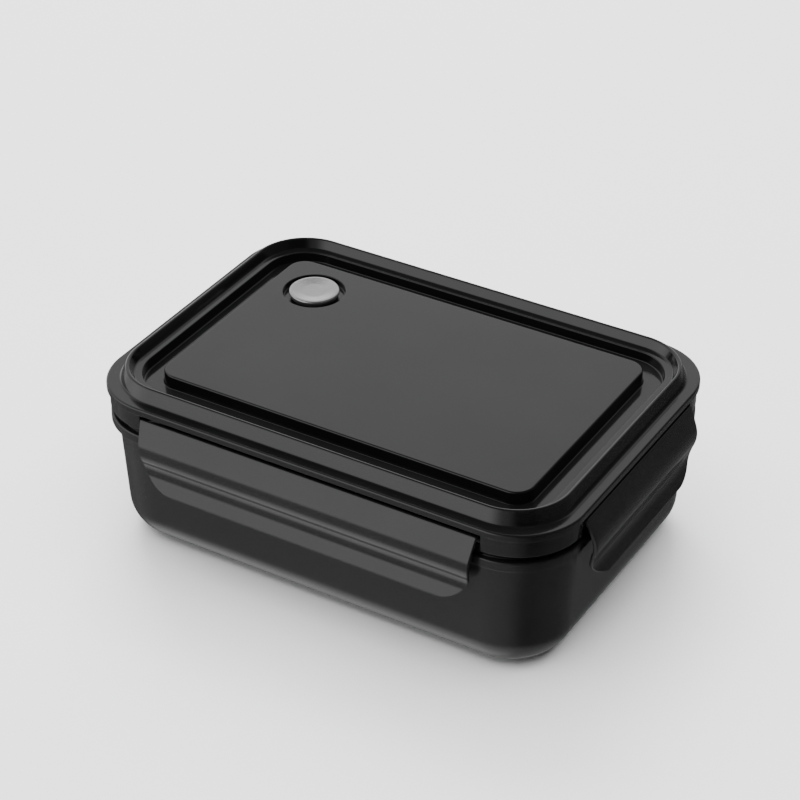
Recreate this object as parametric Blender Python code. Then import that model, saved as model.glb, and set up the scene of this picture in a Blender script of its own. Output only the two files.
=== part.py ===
"""Clip-top lunch box: moulded outer box, steel liner, lid with four hinged clip flaps, and a vent plug.

The origin is at the centre of the underside. +X runs along the long side, +Y to the back, +Z up.
Sizes are in millimetres and become metres where a mesh is made. An inset is a distance inwards from
the lid's outer edge, and a level is a height over the surface that the box stands on.
"""

import math

import bmesh
import bpy
from mathutils import Matrix, Vector

MM = 0.001

# Driving dimensions
LENGTH = 210.0              # lid, along X
WIDTH = 148.8               # lid, along Y
LID_LEVEL = 70.1            # top of the lid's flange
RIDGE_HEIGHT = 5.8          # ridge over the flange
PANEL_HEIGHT = 3.0          # middle panel over the flange
GUTTER_DEPTH = 2.6          # gutter under the flange
FLANGE_THICKNESS = 3.0
LID_WALL = 2.0
EDGE_RADIUS = 27.4          # corner radius of the lid's outer edge
CORNER_STEPS = 8            # straight pieces in each corner

SKIRT_INSET = 0.8
SKIRT_DEPTH = 10.5
SKIRT_WALL = 1.7
GROOVE_INSET = 4.5          # outer face of the gasket groove's outer wall
GROOVE_WALL = 1.1
GROOVE_DEPTH = 7.9
LOCATING_INSET = 9.1        # outer face of the wall that centres the lid in the liner
LOCATING_WALL = 1.8
LOCATING_DEPTH = 12.0

RIM_TOP = 13.4              # base rim band, measured down from the flange's top
RIM_BOTTOM = 17.6
RIM_INSET = 0.8
BASE_INSET = 2.85           # outer wall just under the rim band
BASE_DRAFT = math.radians(3.34)
BASE_FOOT_RADIUS = 15.4
BASE_WALL = 2.0
UPSTAND_INSET = 2.9
UPSTAND_WALL = 1.7
UPSTAND_TOP = 9.2

LINER_WALL = 0.8
LINER_INSET = 7.9           # outer face of the liner's wall at its rim
LINER_RIM_INSET = 3.1
LINER_FOOT_RADIUS = 13.0
LINER_FLOOR_LEVEL = 3.6     # underside of the liner's floor
SEAT_GAP = 0.3              # left between pieces that rest on each other

FLAP_END_MARGIN = 29.7      # from the lid's end to the flap's end
FLAP_TOP = 4.0              # below the flange's top
FLAP_TOP_OUT = 0.3          # the flap's outer face stands this far out of the lid's edge there
FLAP_SLOPE = math.atan2(3.75, 9.2)
FLAP_WALL = 1.8
FLAP_END_DRAFT = 0.105        # each end draws in this much per millimetre of depth
FLAP_CORNER_START = 24.0      # depth where the rounded lower corners begin
FLAP_CORNER_ACROSS = 14.0
FLAP_CORNER_DOWN = 10.1
RIB_INSET = 7.0               # from a flap's end to the end of its snap rib
HINGE_DROP = 1.8            # from the flap's top to its hinge axis, along the flap
HINGE_SETBACK = 2.7         # from the flap's outer face to its hinge axis
BARREL_RADIUS = 1.5
BARREL_INSET = 1.6            # from a flap's end to the end of its barrels
LUG_RADIUS = 1.4
LUG_WIDTH = 6.0
LUG_PITCH = 30.0
LUG_CLEARANCE = 0.4
LUG_END_ROOM = 12.0           # from a flap's end to the middle of its last lug
ARM_INSET = 0.05              # a lug's arm is this much narrower at each side
ROD_RADIUS = 0.6
ROD_INSET = 2.6               # from a flap's end to the end of its rod
BORE_RADIUS = 0.8
POCKET_WALL = 1.0           # what is left of the flap's wall in front of a lug
NOTCH_CLEARANCE = 1.0       # between a flap's end and the skirt

VENT_X = -62.3
VENT_Y = 32.0
RECESS_RADIUS = 13.05
RECESS_DEPTH = 2.6
BOSS_RADIUS = 15.0
BOSS_WALL = 2.3
PLUG_RADIUS = 10.65
PLUG_RISE = 0.9             # the plug's edge over the panel
STEM_RADIUS = 3.9
STEM_HOLE_RADIUS = 4.3
BARB_RADIUS = 5.6
PLUG_TRAVEL = 3.0


def clear_scene():
    for item in list(bpy.data.objects):
        bpy.data.objects.remove(item, do_unlink=True)


def make_material(name, colour, roughness, metallic=0.0):
    material = bpy.data.materials.new(name)
    material.use_nodes = True
    shader = material.node_tree.nodes["Principled BSDF"]
    shader.inputs["Base Color"].default_value = (*colour, 1.0)
    shader.inputs["Roughness"].default_value = roughness
    shader.inputs["Metallic"].default_value = metallic
    material.diffuse_color = (*colour, 1.0)
    return material


def new_object(name, mesh_builder, material, smooth_angle=35.0):
    """Turn a bmesh in millimetres into an object in metres."""
    bmesh.ops.recalc_face_normals(mesh_builder, faces=mesh_builder.faces)
    bmesh.ops.scale(mesh_builder, vec=(MM, MM, MM), verts=mesh_builder.verts)
    mesh = bpy.data.meshes.new(name)
    mesh_builder.to_mesh(mesh)
    mesh_builder.free()
    mesh.materials.append(material)
    mesh.shade_smooth()
    mesh.set_sharp_from_angle(angle=math.radians(smooth_angle))
    item = bpy.data.objects.new(name, mesh)
    bpy.context.collection.objects.link(item)
    return item


def apply_boolean(target, tool, operation):
    """Combine the target with the tool object, then drop the tool."""
    modifier = target.modifiers.new("combine", "BOOLEAN")
    modifier.operation = operation
    modifier.object = tool
    modifier.solver = "EXACT"
    depsgraph = bpy.context.evaluated_depsgraph_get()
    combined = bpy.data.meshes.new_from_object(target.evaluated_get(depsgraph))
    target.modifiers.clear()
    target.data = combined
    bpy.data.objects.remove(tool, do_unlink=True)


# Rounded-rectangle sweeps

def corner_radius(inset):
    """The lid's corner radius at an inset: it tightens towards the middle panel."""
    known = ((0.0, EDGE_RADIUS), (0.8, EDGE_RADIUS), (7.3, 22.8), (13.0, 18.0), (22.9, 7.0), (30.0, 5.0))
    for (inset_a, radius_a), (inset_b, radius_b) in zip(known, known[1:]):
        if inset <= inset_b:
            share = (inset - inset_a) / (inset_b - inset_a)
            return radius_a + share * (radius_b - radius_a)
    return known[-1][1]


def base_radius(inset):
    """The box's corner radius at an inset: its wall is one even thickness."""
    return EDGE_RADIUS - max(inset - BASE_INSET, 0.0)


def outline(inset, level, radius):
    """One rounded rectangle, counter-clockwise seen from above."""
    half_x = LENGTH / 2 - inset
    half_y = WIDTH / 2 - inset
    points = []
    for quarter, (side_x, side_y) in enumerate(((1, 1), (-1, 1), (-1, -1), (1, -1))):
        centre_x = side_x * (half_x - radius)
        centre_y = side_y * (half_y - radius)
        for step in range(CORNER_STEPS + 1):
            angle = math.radians(90 * (quarter + step / CORNER_STEPS))
            points.append(Vector((centre_x + radius * math.cos(angle), centre_y + radius * math.sin(angle), level)))
    return points


def sweep(profile, radius_at, ring=False):
    """Carry a profile of (inset, level) points round the box; a ring closes on itself."""
    builder = bmesh.new()
    loops = []
    for inset, level in profile:
        loops.append([builder.verts.new(point) for point in outline(inset, level, radius_at(inset))])
    pairs = list(zip(loops, loops[1:]))
    if ring:
        pairs.append((loops[-1], loops[0]))
    else:
        builder.faces.new(loops[0])
        builder.faces.new(loops[-1])
    for lower, upper in pairs:
        for index, vertex in enumerate(lower):
            following = (index + 1) % len(lower)
            builder.faces.new((vertex, lower[following], upper[following], upper[index]))
    return builder


def foot_arc(centre_inset, centre_level, radius, steps=6):
    """The rounded foot between a drafted wall and a flat floor, from the floor up."""
    points = []
    for step in range(steps + 1):
        angle = math.pi / 2 + (BASE_DRAFT - math.pi / 2) * step / steps
        points.append((centre_inset - radius * math.cos(angle), centre_level - radius * math.sin(angle)))
    return points


def drafted_inset(inset_at_top, top_level, level):
    return inset_at_top + (top_level - level) * math.tan(BASE_DRAFT)


# Fixed parts of the box

def build_base_shell(material):
    rim_bottom = LID_LEVEL - RIM_BOTTOM
    rim_top = LID_LEVEL - RIM_TOP
    upstand_top = LID_LEVEL - UPSTAND_TOP
    tangent_level = BASE_FOOT_RADIUS * (1 - math.sin(BASE_DRAFT))
    centre_inset = drafted_inset(BASE_INSET, rim_bottom, tangent_level) + BASE_FOOT_RADIUS * math.cos(BASE_DRAFT)
    outer = foot_arc(centre_inset, BASE_FOOT_RADIUS, BASE_FOOT_RADIUS)
    inner = foot_arc(centre_inset, BASE_FOOT_RADIUS, BASE_FOOT_RADIUS - BASE_WALL)
    top = [
        (BASE_INSET, rim_bottom),
        (RIM_INSET + 0.3, rim_bottom),
        (RIM_INSET, rim_bottom + 0.4),
        (RIM_INSET, rim_top - 0.5),
        (RIM_INSET + 0.4, rim_top),
        (UPSTAND_INSET, rim_top),
        (UPSTAND_INSET, upstand_top),
        (UPSTAND_INSET + UPSTAND_WALL, upstand_top),
        (BASE_INSET + BASE_WALL, rim_bottom),
    ]
    item = new_object("base_shell", sweep(outer + top + inner[::-1], base_radius), material)
    return item


def build_steel_liner(material):
    rim_level = LID_LEVEL - UPSTAND_TOP + SEAT_GAP
    tangent_level = LINER_FLOOR_LEVEL + LINER_FOOT_RADIUS * (1 - math.sin(BASE_DRAFT))
    wall_inset = drafted_inset(LINER_INSET, rim_level, tangent_level)
    centre_inset = wall_inset + LINER_FOOT_RADIUS * math.cos(BASE_DRAFT)
    centre_level = LINER_FLOOR_LEVEL + LINER_FOOT_RADIUS
    outer = foot_arc(centre_inset, centre_level, LINER_FOOT_RADIUS)
    inner = foot_arc(centre_inset, centre_level, LINER_FOOT_RADIUS - LINER_WALL)
    rim = [
        (LINER_INSET, rim_level - 0.6),
        (LINER_INSET - 0.5, rim_level),
        (LINER_RIM_INSET, rim_level),
        (LINER_RIM_INSET, rim_level + LINER_WALL),
        (LINER_INSET - 0.1, rim_level + LINER_WALL),
        (LINER_INSET + LINER_WALL - 0.2, rim_level + LINER_WALL - 0.5),
        (LINER_INSET + LINER_WALL, rim_level - 0.4),
    ]
    return new_object("steel_liner", sweep(outer + rim + inner[::-1], base_radius), material)


# Lid

def lid_profile():
    """The lid's section in two runs: over the top from its edge to the panel, and back underneath."""
    top = LID_LEVEL
    panel = top + PANEL_HEIGHT
    gutter = top - GUTTER_DEPTH
    underside = top - FLANGE_THICKNESS
    groove_inner = GROOVE_INSET + GROOVE_WALL
    upper = [
        (0.35, underside),
        (0.0, underside + 0.35),
        (0.0, top - 0.7),
        (0.2, top - 0.2),
        (0.7, top),
        (3.8, top),
        (4.7, top + 0.2),
        (5.3, top + 1.1),
        (6.6, top + RIDGE_HEIGHT - 1.2),
        (6.9, top + RIDGE_HEIGHT - 0.4),
        (7.4, top + RIDGE_HEIGHT),
        (8.0, top + RIDGE_HEIGHT - 0.1),
        (8.4, top + RIDGE_HEIGHT - 0.6),
        (9.6, top + 2.5),
        (10.3, top + 1.8),
        (12.4, top + 1.6),
        (12.9, top + 1.4),
        (13.1, top + 0.9),
        (13.3, gutter + 0.7),
        (13.9, gutter),
        (21.7, gutter),
        (22.3, gutter + 0.6),
        (22.6, panel - 0.8),
        (22.8, panel - 0.2),
        (23.4, panel),
    ]
    lower = [
        (24.6, panel - LID_WALL),
        (24.6, gutter - LID_WALL),
        (LOCATING_INSET + LOCATING_WALL, gutter - LID_WALL),
        (LOCATING_INSET + LOCATING_WALL, top - LOCATING_DEPTH),
        (LOCATING_INSET + 0.3, top - LOCATING_DEPTH),
        (LOCATING_INSET, top - LOCATING_DEPTH + 0.6),
        (LOCATING_INSET, top - 0.6),
        (8.4, top + 2.2),
        (7.6, top + 3.5),
        (6.9, top + 2.0),
        (6.3, top - 0.4),
        (groove_inner, top - 2.0),
        (groove_inner, top - GROOVE_DEPTH),
        (GROOVE_INSET, top - GROOVE_DEPTH),
        (GROOVE_INSET, underside),
        (SKIRT_INSET + SKIRT_WALL, underside),
        (SKIRT_INSET + SKIRT_WALL, top - SKIRT_DEPTH),
        (SKIRT_INSET + 0.3, top - SKIRT_DEPTH),
        (SKIRT_INSET, top - SKIRT_DEPTH + 0.3),
        (SKIRT_INSET, underside),
    ]
    return upper, lower


def build_lid_blank(material):
    """The lid before its notches, lugs and vent: a swept section with a flat panel above and below."""
    upper, lower = lid_profile()
    return new_object("lid_cover", sweep(lower + upper, corner_radius), material)


def box_into(builder, low, high, turn=0.0):
    """Add a box between two corners, turned about Z."""
    low = Vector(low)
    high = Vector(high)
    size = high - low
    place = Matrix.Rotation(turn, 4, "Z") @ Matrix.Translation((low + high) / 2) @ Matrix.Diagonal((*size, 1.0))
    bmesh.ops.create_cube(builder, size=1.0, matrix=place)


def rod_into(builder, radius, start, end, steps=16, turn=0.0):
    """Add a cylinder between two points, turned about Z."""
    start = Vector(start)
    end = Vector(end)
    along = end - start
    facing = along.to_track_quat("Z", "Y").to_matrix().to_4x4()
    place = Matrix.Rotation(turn, 4, "Z") @ Matrix.Translation((start + end) / 2) @ facing
    bmesh.ops.create_cone(builder, cap_ends=True, segments=steps, radius1=radius, radius2=radius,
                          depth=along.length, matrix=place)


def tube_into(builder, outer, inner, start, end, steps=16, turn=0.0):
    """Add an open-ended tube between two points that share their Y and Z, turned about Z."""
    place = Matrix.Rotation(turn, 4, "Z")
    rings = []
    for radius, end_x in ((outer, start[0]), (outer, end[0]), (inner, end[0]), (inner, start[0])):
        ring = []
        for step in range(steps):
            angle = math.tau * step / steps
            point = Vector((end_x, start[1] + radius * math.cos(angle), start[2] + radius * math.sin(angle)))
            ring.append(builder.verts.new(place @ point))
        rings.append(ring)
    for index, ring in enumerate(rings):
        beside = rings[(index + 1) % len(rings)]
        for step in range(steps):
            following = (step + 1) % steps
            builder.faces.new((ring[step], beside[step], beside[following], ring[following]))


# Flaps. Each is drawn facing the front, where out is -Y, with its hinge axis along X.

HINGE_OUT = (FLAP_TOP_OUT + HINGE_DROP * math.sin(FLAP_SLOPE) - HINGE_SETBACK * math.cos(FLAP_SLOPE))
HINGE_LEVEL = LID_LEVEL - FLAP_TOP - HINGE_DROP * math.cos(FLAP_SLOPE) - HINGE_SETBACK * math.sin(FLAP_SLOPE)

SIDES = (
    ("front", 0.0, LENGTH / 2, WIDTH / 2),
    ("right", 90.0, WIDTH / 2, LENGTH / 2),
    ("back", 180.0, LENGTH / 2, WIDTH / 2),
    ("left", 270.0, WIDTH / 2, LENGTH / 2),
)


def flap_half_length(half_side):
    return half_side - FLAP_END_MARGIN


def flap_outline():
    """The flap's section as (out, down) points: down is measured from the flange's top."""
    outer = [
        (0.0, 4.05), (FLAP_TOP_OUT + 0.1, 4.25), (4.05, 13.2), (4.45, 15.2), (4.5, 17.2), (4.2, 19.2),
        (3.6, 21.0), (3.4, 21.6), (3.05, 21.9), (3.1, 22.4), (2.5, 24.0), (2.1, 25.6), (2.05, 27.0),
        (2.4, 28.6), (3.0, 30.2), (4.2, 33.2), (4.2, 33.8), (3.8, 34.0),
    ]
    inner = [
        (3.3, 33.7), (1.9, 30.6), (0.75, 28.2), (0.45, 26.6), (0.6, 25.0), (1.3, 22.8), (2.1, 20.8),
        (2.5, 18.6), (2.55, 16.6), (2.4, 14.8), (1.95, 13.2),
        (FLAP_TOP_OUT - FLAP_WALL * math.cos(FLAP_SLOPE), FLAP_TOP + FLAP_WALL * math.sin(FLAP_SLOPE)),
    ]
    return outer + inner


def flap_end(down):
    """How far a flap's end has drawn in at a depth: a slight draft, then a rounded lower corner."""
    draft = FLAP_END_DRAFT * (down - FLAP_TOP)
    if down <= FLAP_CORNER_START:
        return draft
    drop = min((down - FLAP_CORNER_START) / FLAP_CORNER_DOWN, 1.0)
    return draft + FLAP_CORNER_ACROSS * (1 - math.sqrt(1 - drop * drop))


def flap_plate(half_length):
    """The waved plate of a flap, relative to its hinge axis."""
    builder = bmesh.new()
    rows = []
    for out, down in flap_outline():
        reach = half_length - flap_end(down)
        place_y = -(out - HINGE_OUT)
        place_z = LID_LEVEL - down - HINGE_LEVEL
        rows.append([builder.verts.new((side * reach, place_y, place_z)) for side in (-1, 1)])
    builder.faces.new([row[0] for row in rows])
    builder.faces.new([row[1] for row in rows])
    for index, row in enumerate(rows):
        following = rows[(index + 1) % len(rows)]
        builder.faces.new((row[0], row[1], following[1], following[0]))
    bmesh.ops.triangulate(builder, faces=[face for face in builder.faces if len(face.verts) > 4])
    return builder


def lug_places(half_length):
    """Where the lid's lugs stand along a flap: even pitch, centred."""
    span = 2 * (half_length - LUG_END_ROOM)
    count = max(2, round(span / LUG_PITCH))
    return [-span / 2 + span * index / (count - 1) for index in range(count)]


def barrel_runs(half_length):
    """The stretches of hinge barrel between the lugs."""
    edges = [-(half_length - BARREL_INSET)]
    for place in lug_places(half_length):
        edges.append(place - LUG_WIDTH / 2 - LUG_CLEARANCE)
        edges.append(place + LUG_WIDTH / 2 + LUG_CLEARANCE)
    edges.append(half_length - BARREL_INSET)
    return list(zip(edges[::2], edges[1::2]))


def build_flap(side, turn, half_side, distance, material):
    half_length = flap_half_length(half_side)
    flap = new_object(f"flap_{side}", flap_plate(half_length), material)

    pockets = bmesh.new()
    slope = Matrix.Rotation(FLAP_SLOPE, 4, "X")
    for place in lug_places(half_length):
        half_pocket = LUG_WIDTH / 2 + LUG_CLEARANCE
        box_into(pockets, (place - half_pocket, -(HINGE_SETBACK - POCKET_WALL), -2.2),
                 (place + half_pocket, 3.0, HINGE_DROP + 2.0))
    bmesh.ops.transform(pockets, matrix=slope.inverted(), verts=pockets.verts)
    apply_boolean(flap, new_object("pockets", pockets, material), "DIFFERENCE")

    barrels = bmesh.new()
    for start, end in barrel_runs(half_length):
        tube_into(barrels, BARREL_RADIUS, BORE_RADIUS, (start, 0, 0), (end, 0, 0))
    apply_boolean(flap, new_object("barrels", barrels, material), "UNION")

    apply_boolean(flap, new_object("snap_rib", snap_rib(half_length), material), "UNION")

    place_on_side(flap, turn, distance)
    return flap


def snap_rib(half_length):
    """The rib inside the flap that snaps under the base's rim band."""
    section = ((3.2, 17.7), (-0.45, 18.4), (-0.45, 19.6), (2.0, 22.2))
    reach = half_length - RIB_INSET
    builder = bmesh.new()
    ends = []
    for side in (-1, 1):
        ends.append([
            builder.verts.new((side * reach, -(out - HINGE_OUT), LID_LEVEL - down - HINGE_LEVEL))
            for out, down in section
        ])
    builder.faces.new(ends[0])
    builder.faces.new(ends[1])
    for index in range(len(section)):
        following = (index + 1) % len(section)
        builder.faces.new((ends[0][index], ends[1][index], ends[1][following], ends[0][following]))
    return builder


def place_on_side(item, turn, distance):
    """Put a piece drawn about a hinge axis on one side of the lid."""
    angle = math.radians(turn)
    out = distance + HINGE_OUT
    item.rotation_euler = (0.0, 0.0, angle)
    item.location = (out * math.sin(angle) * MM, -out * math.cos(angle) * MM, HINGE_LEVEL * MM)


def build_hinge_rod(side, turn, half_side, distance, material):
    reach = flap_half_length(half_side) - ROD_INSET
    builder = bmesh.new()
    rod_into(builder, ROD_RADIUS, (-reach, 0, 0), (reach, 0, 0), steps=12)
    rod = new_object(f"hinge_rod_{side}", builder, material)
    place_on_side(rod, turn, distance)
    return rod


def build_lid(material):
    lid = build_lid_blank(material)
    top = LID_LEVEL

    notches = bmesh.new()
    for _, turn, half_side, distance in SIDES:
        reach = flap_half_length(half_side) + NOTCH_CLEARANCE
        box_into(notches, (-reach, -(distance - 0.3), top - SKIRT_DEPTH - 1.0),
                 (reach, -(distance - GROOVE_INSET + 0.8), top - FLANGE_THICKNESS - 0.1), math.radians(turn))
    apply_boolean(lid, new_object("notches", notches, material), "DIFFERENCE")

    lugs = bmesh.new()
    for _, turn, half_side, distance in SIDES:
        angle = math.radians(turn)
        for place in lug_places(flap_half_length(half_side)):
            start = (place - LUG_WIDTH / 2, -(distance + HINGE_OUT), HINGE_LEVEL)
            end = (place + LUG_WIDTH / 2, -(distance + HINGE_OUT), HINGE_LEVEL)
            tube_into(lugs, LUG_RADIUS, BORE_RADIUS, start, end, turn=angle)
    apply_boolean(lid, new_object("lugs", lugs, material), "UNION")

    arms = bmesh.new()
    for _, turn, half_side, distance in SIDES:
        for place in lug_places(flap_half_length(half_side)):
            box_into(arms, (place - LUG_WIDTH / 2 + ARM_INSET, -(distance + HINGE_OUT - 1.0), HINGE_LEVEL - 0.95),
                     (place + LUG_WIDTH / 2 - ARM_INSET, -(distance - GROOVE_INSET - 0.5), HINGE_LEVEL + 0.6),
                     math.radians(turn))
    boss_low = top + PANEL_HEIGHT - RECESS_DEPTH - BOSS_WALL
    rod_into(arms, BOSS_RADIUS, (VENT_X, VENT_Y, boss_low), (VENT_X, VENT_Y, top + PANEL_HEIGHT - 1.0), steps=32)
    apply_boolean(lid, new_object("arms", arms, material), "UNION")

    recess = bmesh.new()
    rod_into(recess, RECESS_RADIUS, (VENT_X, VENT_Y, top + PANEL_HEIGHT - RECESS_DEPTH),
             (VENT_X, VENT_Y, top + PANEL_HEIGHT + 1.0), steps=40)
    apply_boolean(lid, new_object("recess", recess, material), "DIFFERENCE")

    hole = bmesh.new()
    rod_into(hole, STEM_HOLE_RADIUS, (VENT_X, VENT_Y, boss_low - 1.0), (VENT_X, VENT_Y, top + PANEL_HEIGHT), steps=20)
    apply_boolean(lid, new_object("hole", hole, material), "DIFFERENCE")
    return lid


def build_lid_gasket(material):
    """Soft ring in the lid's groove; its flat foot presses on the liner's rim."""
    foot = LID_LEVEL - UPSTAND_TOP + SEAT_GAP + LINER_WALL + SEAT_GAP
    roof = LID_LEVEL - 2.3
    inner = LOCATING_INSET - 0.35
    outer = GROOVE_INSET + GROOVE_WALL + 0.35
    section = [
        (outer, foot + 0.5),
        (outer, roof - 0.5),
        (outer + 0.6, roof),
        (inner - 0.6, roof),
        (inner, roof - 0.5),
        (inner, foot + 1.8),
        (inner - 0.8, foot),
        (outer + 0.4, foot),
    ]
    return new_object("lid_gasket", sweep(section[::-1], corner_radius, ring=True), material)


def build_vent_plug(material):
    """Round plug with a dished top, a stem through the lid and a barb that keeps it there."""
    panel = PANEL_HEIGHT
    floor = panel - RECESS_DEPTH
    barb_top = floor - BOSS_WALL - PLUG_TRAVEL - 0.5
    half = [
        (0.0, panel + PLUG_RISE - 0.6),
        (5.5, panel + PLUG_RISE - 0.5),
        (8.6, panel + PLUG_RISE - 0.15),
        (9.5, panel + PLUG_RISE),
        (PLUG_RADIUS - 0.35, panel + PLUG_RISE - 0.1),
        (PLUG_RADIUS, panel + PLUG_RISE - 0.5),
        (PLUG_RADIUS, floor + 0.9),
        (PLUG_RADIUS - 0.6, floor + 0.35),
        (STEM_RADIUS, floor + 0.35),
        (STEM_RADIUS, barb_top),
        (BARB_RADIUS, barb_top),
        (BARB_RADIUS, barb_top - 0.4),
        (STEM_RADIUS - 0.8, barb_top - 1.6),
        (0.0, barb_top - 1.6),
    ]
    steps = 28
    builder = bmesh.new()
    rows = []
    for radius, height in half:
        if radius == 0.0:
            rows.append([builder.verts.new((0.0, 0.0, height))])
            continue
        ring = []
        for step in range(steps):
            angle = math.tau * step / steps
            ring.append(builder.verts.new((radius * math.cos(angle), radius * math.sin(angle), height)))
        rows.append(ring)
    for upper, lower in zip(rows, rows[1:]):
        for step in range(steps):
            following = (step + 1) % steps
            if len(upper) == 1:
                builder.faces.new((upper[0], lower[step], lower[following]))
            elif len(lower) == 1:
                builder.faces.new((upper[step], lower[0], upper[following]))
            else:
                builder.faces.new((upper[step], lower[step], lower[following], upper[following]))
    plug = new_object("vent_plug", builder, material)
    plug.location = (VENT_X * MM, VENT_Y * MM, LID_LEVEL * MM)
    return plug


def build():
    clear_scene()
    shell_plastic = make_material("shell_plastic", (0.016, 0.016, 0.017), 0.38)
    lid_plastic = make_material("lid_plastic", (0.020, 0.020, 0.021), 0.34)
    flap_plastic = make_material("flap_plastic", (0.020, 0.020, 0.021), 0.36)
    steel = make_material("liner_steel", (0.62, 0.62, 0.61), 0.28, metallic=1.0)
    rod_steel = make_material("rod_steel", (0.55, 0.55, 0.55), 0.3, metallic=1.0)
    silicone = make_material("gasket_silicone", (0.55, 0.55, 0.54), 0.6)
    plug_silicone = make_material("plug_silicone", (0.30, 0.30, 0.30), 0.35)

    build_base_shell(shell_plastic)
    build_steel_liner(steel)
    build_lid(lid_plastic)
    build_lid_gasket(silicone)
    build_vent_plug(plug_silicone)
    for side, turn, half_side, distance in SIDES:
        build_flap(side, turn, half_side, distance, flap_plastic)
        build_hinge_rod(side, turn, half_side, distance, rod_steel)


build()
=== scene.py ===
"""Looks of a clip-top lunch box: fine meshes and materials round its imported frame.

Sizes are in millimetres, in the frame's axes. An inset is a distance inwards from the lid's outer
edge. A height is measured up from the top of the lid's flange, and a depth down from it.
"""

import math

import bmesh
import bpy
from mathutils import Matrix, Vector


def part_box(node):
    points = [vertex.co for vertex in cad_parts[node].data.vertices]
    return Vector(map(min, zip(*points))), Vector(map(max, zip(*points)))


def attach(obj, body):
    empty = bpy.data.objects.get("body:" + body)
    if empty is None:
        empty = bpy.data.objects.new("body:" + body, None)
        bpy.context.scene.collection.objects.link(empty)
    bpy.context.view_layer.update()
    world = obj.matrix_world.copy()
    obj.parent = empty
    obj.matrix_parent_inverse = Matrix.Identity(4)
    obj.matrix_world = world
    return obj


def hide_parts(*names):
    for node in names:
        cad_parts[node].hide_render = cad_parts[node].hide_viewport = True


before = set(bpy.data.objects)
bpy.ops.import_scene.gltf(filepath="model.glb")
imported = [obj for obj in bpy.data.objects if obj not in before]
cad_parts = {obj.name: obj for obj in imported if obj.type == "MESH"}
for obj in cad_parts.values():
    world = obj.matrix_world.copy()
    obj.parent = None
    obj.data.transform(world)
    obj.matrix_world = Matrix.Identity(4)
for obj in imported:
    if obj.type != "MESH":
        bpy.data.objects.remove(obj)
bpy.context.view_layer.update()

MM = 0.001

# Sizes from the frame
LID_LOW, LID_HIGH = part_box("lid_cover")
PLUG_LOW, PLUG_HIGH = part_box("vent_plug")
RIDGE_HEIGHT = 5.8
LENGTH = (LID_HIGH.x - LID_LOW.x) / MM
WIDTH = (LID_HIGH.y - LID_LOW.y) / MM
LID_LEVEL = LID_HIGH.z / MM - RIDGE_HEIGHT
VENT_X = (PLUG_LOW.x + PLUG_HIGH.x) / 2 / MM
VENT_Y = (PLUG_LOW.y + PLUG_HIGH.y) / 2 / MM
PLUG_RADIUS = (PLUG_HIGH.x - PLUG_LOW.x) / 2 / MM

# Lid
PANEL_HEIGHT = 3.0
GUTTER_DEPTH = 2.6
LEDGE_HEIGHT = 1.7
FLANGE_THICKNESS = 3.0
LID_WALL = 2.0
SKIRT_INSET = 0.8
SKIRT_WALL = 1.7
SKIRT_DEPTH = 10.5
GROOVE_INSET = 4.5
GROOVE_WALL = 1.1
GROOVE_DEPTH = 7.9
LOCATING_INSET = 9.1
LOCATING_WALL = 1.8
LOCATING_DEPTH = 12.0
EDGE_RADIUS = 27.4

# Outer box and liner
RIM_TOP = 13.4
RIM_BOTTOM = 17.6
RIM_INSET = 0.8
BASE_INSET = 2.85
BASE_DRAFT = math.radians(3.34)
BASE_FOOT_RADIUS = 15.4
BASE_WALL = 2.0
UPSTAND_INSET = 2.9
UPSTAND_WALL = 1.7
UPSTAND_TOP = 9.2
LINER_WALL = 0.8
LINER_INSET = 7.9
LINER_RIM_INSET = 3.1
LINER_FOOT_RADIUS = 13.0
LINER_FLOOR_LEVEL = 3.6
SEAT_GAP = 0.3

# Flaps and hinges
FLAP_END_MARGIN = 29.7
FLAP_TOP = 4.0
FLAP_BOTTOM = 34.0
FLAP_TOP_OUT = 0.3
FLAP_SLOPE = math.atan2(3.75, 9.2)
FLAP_WALL = 1.8
FLAP_EDGE = 0.5
FLAP_END_DRAFT = 0.105
FLAP_CORNER_START = 24.0
FLAP_CORNER_ACROSS = 14.0
FLAP_CORNER_DOWN = 10.1
FINE_GROOVE_DEPTH = 21.9
FINE_GROOVE_CUT = 0.3
FINE_GROOVE_HALF = 0.45
RIB_INSET = 7.0
HINGE_DROP = 1.8
HINGE_SETBACK = 2.7
HINGE_OUT = FLAP_TOP_OUT + HINGE_DROP * math.sin(FLAP_SLOPE) - HINGE_SETBACK * math.cos(FLAP_SLOPE)
HINGE_LEVEL = LID_LEVEL - FLAP_TOP - HINGE_DROP * math.cos(FLAP_SLOPE) - HINGE_SETBACK * math.sin(FLAP_SLOPE)
BARREL_RADIUS = 1.5
BARREL_INSET = 1.6
LUG_RADIUS = 1.4
LUG_WIDTH = 6.0
LUG_PITCH = 30.0
LUG_CLEARANCE = 0.4
LUG_END_ROOM = 12.0
ARM_INSET = 0.05
ROD_RADIUS = 0.6
ROD_INSET = 2.6
BORE_RADIUS = 0.8
POCKET_WALL = 1.0
NOTCH_CLEARANCE = 1.0

# Vent
RECESS_RADIUS = 13.05
RECESS_DEPTH = 2.6
BOSS_RADIUS = 15.0
BOSS_WALL = 2.3
PLUG_RISE = 0.9
STEM_RADIUS = 3.9
STEM_HOLE_RADIUS = 4.3
BARB_RADIUS = 5.6
PLUG_TRAVEL = 3.0

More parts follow.
